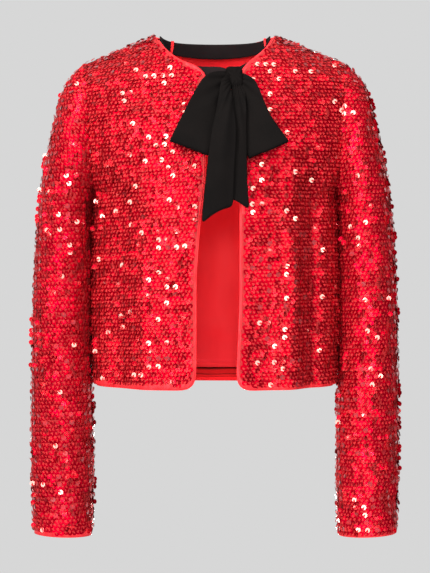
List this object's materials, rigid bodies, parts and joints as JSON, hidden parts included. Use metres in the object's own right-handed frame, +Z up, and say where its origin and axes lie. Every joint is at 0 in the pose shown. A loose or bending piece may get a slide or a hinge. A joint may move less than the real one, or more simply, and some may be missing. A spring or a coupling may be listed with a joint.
{
  "type": "cropped collarless sequin jacket with ribbon bow",
  "caption": "Cropped open-front jacket of red sequin cloth in its worn hollow form, with long sleeves, a round collarless neck and a black ribbon tied in a bow.",
  "frame": {"origin": "midway between the two points where the neckline meets the shoulder seams, where the wearer's shoulders carry it", "axes": "+Z up, the front faces -Y, +X towards the wearer's left"},
  "size_m": [0.4796, 0.2504, 0.6532],
  "materials": {
    "sequin_cloth": "shiny overlapping red sequins on a mesh ground",
    "lining": "smooth satin",
    "ribbon": "matte crepe"
  },
  "bodies": {
    "root": {"front_right": "sequin_cloth", "front_left": "sequin_cloth", "back": "sequin_cloth", "sleeve_right": "sequin_cloth", "sleeve_left": "sequin_cloth", "back_lining": "lining", "back_hem_facing": "lining", "front_edge_facing_right": "lining", "front_edge_facing_left": "lining", "neck_ribbon": "ribbon", "ribbon_carrier_right": "lining", "ribbon_carrier_left": "lining", "bow_knot": "ribbon", "bow_loop_right": "ribbon", "bow_loop_left": "ribbon", "bow_tail_right": "ribbon", "bow_tail_left": "ribbon"}
  },
  "joints": []
}
